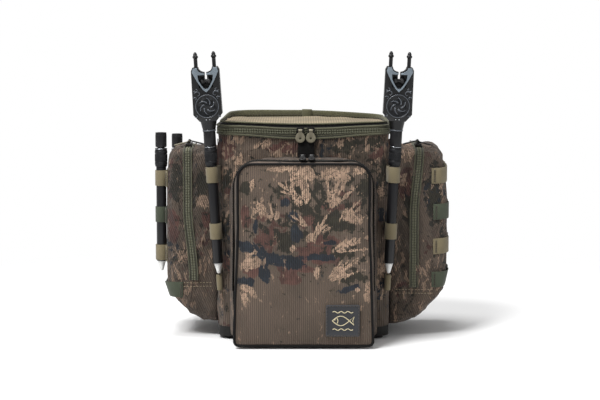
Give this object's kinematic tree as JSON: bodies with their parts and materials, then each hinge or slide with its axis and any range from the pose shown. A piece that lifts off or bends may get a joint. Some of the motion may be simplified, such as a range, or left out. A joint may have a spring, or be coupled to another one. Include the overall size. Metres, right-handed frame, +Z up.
{
  "type": "tackle backpack",
  "caption": "Boxy padded fishing backpack with a zipped lid, zipped front and side pockets, and banksticks with bite alarms carried in its elastic loops.",
  "frame": {"origin": "middle of the base, on the ground plane under the feet", "axes": "+Z up, -Y out of the front pocket, +X towards the right-hand side pocket seen from the front"},
  "size_m": [0.4669, 0.3445, 0.4545],
  "materials": {
    "base_plastic": "grained moulding",
    "body_fabric": "ribbed brown ripstop with a printed leaf camouflage",
    "zip_tape": "woven olive tape",
    "badge_rubber": "moulded patch",
    "tan_webbing": "woven elastic",
    "green_webbing": "woven webbing",
    "padding": "air mesh over foam",
    "black_webbing": "woven webbing",
    "buckle_plastic": "satin moulding",
    "lid_fabric": "ribbed tan fabric",
    "binding": "woven olive binding",
    "stick_metal": "satin black anodised",
    "collar_metal": "satin black, knurled",
    "alarm_plastic": "soft black",
    "alarm_plate": "silver grey satin",
    "speaker_plastic": "satin black",
    "roller_plastic": "smooth",
    "slider_metal": "black nickel",
    "grey_tab": "warm grey rubber",
    "black_tab": "black rubber"
  },
  "bodies": {
    "pack": {"moulded_base": "base_plastic", "front_panel": "body_fabric", "side_panels": "body_fabric", "rear_panel": "body_fabric", "lower_zip_tape": "zip_tape", "front_pocket_tray": "body_fabric", "badge": "badge_rubber", "left_pocket_tray": "body_fabric", "right_pocket_tray": "body_fabric", "pack_loops": "tan_webbing", "back_pad": "padding", "shoulder_straps": "padding", "strap_webbing": "black_webbing", "ladder_locks": "buckle_plastic"},
    "lid": {"lid_panel": "lid_fabric", "lid_rim": "binding", "upper_zip_tape": "zip_tape"},
    "front_cover": {"front_pocket_cover": "body_fabric"},
    "left_cover": {"left_pocket_cover": "body_fabric", "left_pocket_webbing": "green_webbing", "side_stick_loops": "tan_webbing"},
    "right_cover": {"right_pocket_cover": "body_fabric", "right_pocket_webbing": "tan_webbing"},
    "handle": {"haul_handle": "black_webbing"},
    "left_stick": {"left_stick_tube": "stick_metal"},
    "left_collar": {"left_stick_collar": "collar_metal"},
    "left_rod": {"left_stick_rod": "stick_metal"},
    "left_alarm": {"left_alarm_case": "alarm_plastic", "left_alarm_faceplate": "alarm_plate", "left_alarm_speaker": "speaker_plastic"},
    "left_roller": {"left_alarm_roller": "roller_plastic"},
    "right_stick": {"right_stick_tube": "stick_metal"},
    "right_collar": {"right_stick_collar": "collar_metal"},
    "right_rod": {"right_stick_rod": "stick_metal"},
    "right_alarm": {"right_alarm_case": "alarm_plastic", "right_alarm_faceplate": "alarm_plate", "right_alarm_speaker": "speaker_plastic"},
    "right_roller": {"right_alarm_roller": "roller_plastic"},
    "side_stick_a": {"side_stick_a_tube": "stick_metal"},
    "side_collar_a": {"side_stick_a_collar": "collar_metal"},
    "side_rod_a": {"side_stick_a_rod": "stick_metal"},
    "side_stick_b": {"side_stick_b_tube": "stick_metal"},
    "side_collar_b": {"side_stick_b_collar": "collar_metal"},
    "side_rod_b": {"side_stick_b_rod": "stick_metal"},
    "main_slider_a": {"main_slider_a": "slider_metal"},
    "main_tab_a": {"main_tab_a": "grey_tab"},
    "main_slider_b": {"main_slider_b": "slider_metal"},
    "main_tab_b": {"main_tab_b": "grey_tab"},
    "front_slider_a": {"front_slider_a": "slider_metal"},
    "front_tab_a": {"front_tab_a": "black_tab"},
    "front_slider_b": {"front_slider_b": "slider_metal"},
    "front_tab_b": {"front_tab_b": "black_tab"},
    "left_slider_a": {"left_slider_a": "slider_metal"},
    "left_tab_a": {"left_tab_a": "grey_tab"},
    "left_slider_b": {"left_slider_b": "slider_metal"},
    "left_tab_b": {"left_tab_b": "black_tab"},
    "right_slider_a": {"right_slider_a": "slider_metal"},
    "right_tab_a": {"right_tab_a": "black_tab"},
    "right_slider_b": {"right_slider_b": "slider_metal"},
    "right_tab_b": {"right_tab_b": "black_tab"}
  },
  "joints": [
    {"name": "lid_hinge", "type": "hinge", "parent": "pack", "child": "lid", "pos_m": [0, 0.1, 0.331], "axis": [-1, 0, 0], "range_deg": [0, 105]},
    {"name": "front_cover_hinge", "type": "hinge", "parent": "pack", "child": "front_cover", "pos_m": [0, -0.185, 0.081], "axis": [1, 0, 0], "range_deg": [0, 75]},
    {"name": "left_cover_hinge", "type": "hinge", "parent": "pack", "child": "left_cover", "pos_m": [-0.2145, 0, 0.09], "axis": [0, -1, 0], "range_deg": [0, 70]},
    {"name": "right_cover_hinge", "type": "hinge", "parent": "pack", "child": "right_cover", "pos_m": [0.228, 0, 0.079], "axis": [0, 1, 0], "range_deg": [0, 70]},
    {"name": "handle_hinge", "type": "hinge", "parent": "pack", "child": "handle", "pos_m": [0, 0.105, 0.262], "axis": [1, 0, 0], "range_deg": [0, 170]},
    {"name": "left_stick_lift", "type": "slide", "parent": "pack", "child": "left_stick", "axis": [-0.061, 0, 0.9981], "range_m": [-0.002, 0.15]},
    {"name": "left_rod_slide", "type": "slide", "parent": "left_stick", "child": "left_rod", "axis": [-0.061, 0, 0.9981], "range_m": [0, 0.12]},
    {"name": "left_collar_turn", "type": "hinge", "parent": "left_stick", "child": "left_collar", "pos_m": [-0.14358, -0.109, 0.27771], "axis": [-0.061, 0, 0.9981], "range_deg": [0, 180]},
    {"name": "left_alarm_turn", "type": "hinge", "parent": "left_rod", "child": "left_alarm", "pos_m": [-0.14678, -0.109, 0.32991], "axis": [-0.061, 0, 0.9981], "continuous": true},
    {"name": "left_roller_spin", "type": "hinge", "parent": "left_alarm", "child": "left_roller", "pos_m": [-0.15156, -0.112, 0.40806], "axis": [0.9981, 0, 0.061], "continuous": true},
    {"name": "right_stick_lift", "type": "slide", "parent": "pack", "child": "right_stick", "axis": [0.0488, 0, 0.9988], "range_m": [-0.002, 0.15]},
    {"name": "right_rod_slide", "type": "slide", "parent": "right_stick", "child": "right_rod", "axis": [0.0488, 0, 0.9988], "range_m": [0, 0.12]},
    {"name": "right_collar_turn", "type": "hinge", "parent": "right_stick", "child": "right_collar", "pos_m": [0.14167, -0.109, 0.27781], "axis": [0.0488, 0, 0.9988], "range_deg": [0, 180]},
    {"name": "right_alarm_turn", "type": "hinge", "parent": "right_rod", "child": "right_alarm", "pos_m": [0.14422, -0.109, 0.33005], "axis": [0.0488, 0, 0.9988], "continuous": true},
    {"name": "right_roller_spin", "type": "hinge", "parent": "right_alarm", "child": "right_roller", "pos_m": [0.14805, -0.112, 0.40826], "axis": [0.9988, 0, -0.0488], "continuous": true},
    {"name": "side_stick_a_lift", "type": "slide", "parent": "left_cover", "child": "side_stick_a", "axis": [0, 0, 1], "range_m": [-0.0025, 0.12]},
    {"name": "side_rod_a_slide", "type": "slide", "parent": "side_stick_a", "child": "side_rod_a", "axis": [0, 0, 1], "range_m": [0, 0.11]},
    {"name": "side_collar_a_turn", "type": "hinge", "parent": "side_stick_a", "child": "side_collar_a", "pos_m": [-0.2268, -0.045, 0.27], "axis": [0, 0, 1], "range_deg": [0, 180]},
    {"name": "side_stick_b_lift", "type": "slide", "parent": "left_cover", "child": "side_stick_b", "axis": [0, 0, 1], "range_m": [-0.0025, 0.12]},
    {"name": "side_rod_b_slide", "type": "slide", "parent": "side_stick_b", "child": "side_rod_b", "axis": [0, 0, 1], "range_m": [0, 0.11]},
    {"name": "side_collar_b_turn", "type": "hinge", "parent": "side_stick_b", "child": "side_collar_b", "pos_m": [-0.21, 0.0942, 0.258], "axis": [0, 0, 1], "range_deg": [0, 180]},
    {"name": "main_slider_a_travel", "type": "slide", "parent": "pack", "child": "main_slider_a", "axis": [-1, 0, 0], "range_m": [0, 0.09]},
    {"name": "main_tab_a_swing", "type": "hinge", "parent": "main_slider_a", "child": "main_tab_a", "pos_m": [-0.0053, -0.1083, 0.331], "axis": [-1, 0, 0], "range_deg": [0, 150]},
    {"name": "main_slider_b_travel", "type": "slide", "parent": "pack", "child": "main_slider_b", "axis": [1, 0, 0], "range_m": [0, 0.09]},
    {"name": "main_tab_b_swing", "type": "hinge", "parent": "main_slider_b", "child": "main_tab_b", "pos_m": [0.0113, -0.1083, 0.331], "axis": [-1, 0, 0], "range_deg": [0, 150]},
    {"name": "front_slider_a_travel", "type": "slide", "parent": "pack", "child": "front_slider_a", "axis": [-1, 0, 0], "range_m": [0, 0.07]},
    {"name": "front_tab_a_swing", "type": "hinge", "parent": "front_slider_a", "child": "front_tab_a", "pos_m": [-0.0015, -0.128, 0.2933], "axis": [-1, 0, 0], "range_deg": [0, 150]},
    {"name": "front_slider_b_travel", "type": "slide", "parent": "pack", "child": "front_slider_b", "axis": [1, 0, 0], "range_m": [0, 0.07]},
    {"name": "front_tab_b_swing", "type": "hinge", "parent": "front_slider_b", "child": "front_tab_b", "pos_m": [0.0125, -0.128, 0.2933], "axis": [-1, 0, 0], "range_deg": [0, 150]},
    {"name": "left_slider_a_travel", "type": "slide", "parent": "pack", "child": "left_slider_a", "axis": [0, -1, 0], "range_m": [0, 0.028]},
    {"name": "left_tab_a_swing", "type": "hinge", "parent": "left_slider_a", "child": "left_tab_a", "pos_m": [-0.183, -0.04, 0.3083], "axis": [0, 1, 0], "range_deg": [0, 150]},
    {"name": "left_slider_b_travel", "type": "slide", "parent": "pack", "child": "left_slider_b", "axis": [0, 1, 0], "range_m": [0, 0.08]},
    {"name": "left_tab_b_swing", "type": "hinge", "parent": "left_slider_b", "child": "left_tab_b", "pos_m": [-0.183, -0.016, 0.3083], "axis": [0, -1, 0], "range_deg": [0, 150]},
    {"name": "right_slider_a_travel", "type": "slide", "parent": "pack", "child": "right_slider_a", "axis": [0, -1, 0], "range_m": [0, 0.028]},
    {"name": "right_tab_a_swing", "type": "hinge", "parent": "right_slider_a", "child": "right_tab_a", "pos_m": [0.183, -0.04, 0.3083], "axis": [0, -1, 0], "range_deg": [0, 150]},
    {"name": "right_slider_b_travel", "type": "slide", "parent": "pack", "child": "right_slider_b", "axis": [0, 1, 0], "range_m": [0, 0.08]},
    {"name": "right_tab_b_swing", "type": "hinge", "parent": "right_slider_b", "child": "right_tab_b", "pos_m": [0.183, -0.016, 0.3083], "axis": [0, 1, 0], "range_deg": [0, 150]}
  ]
}
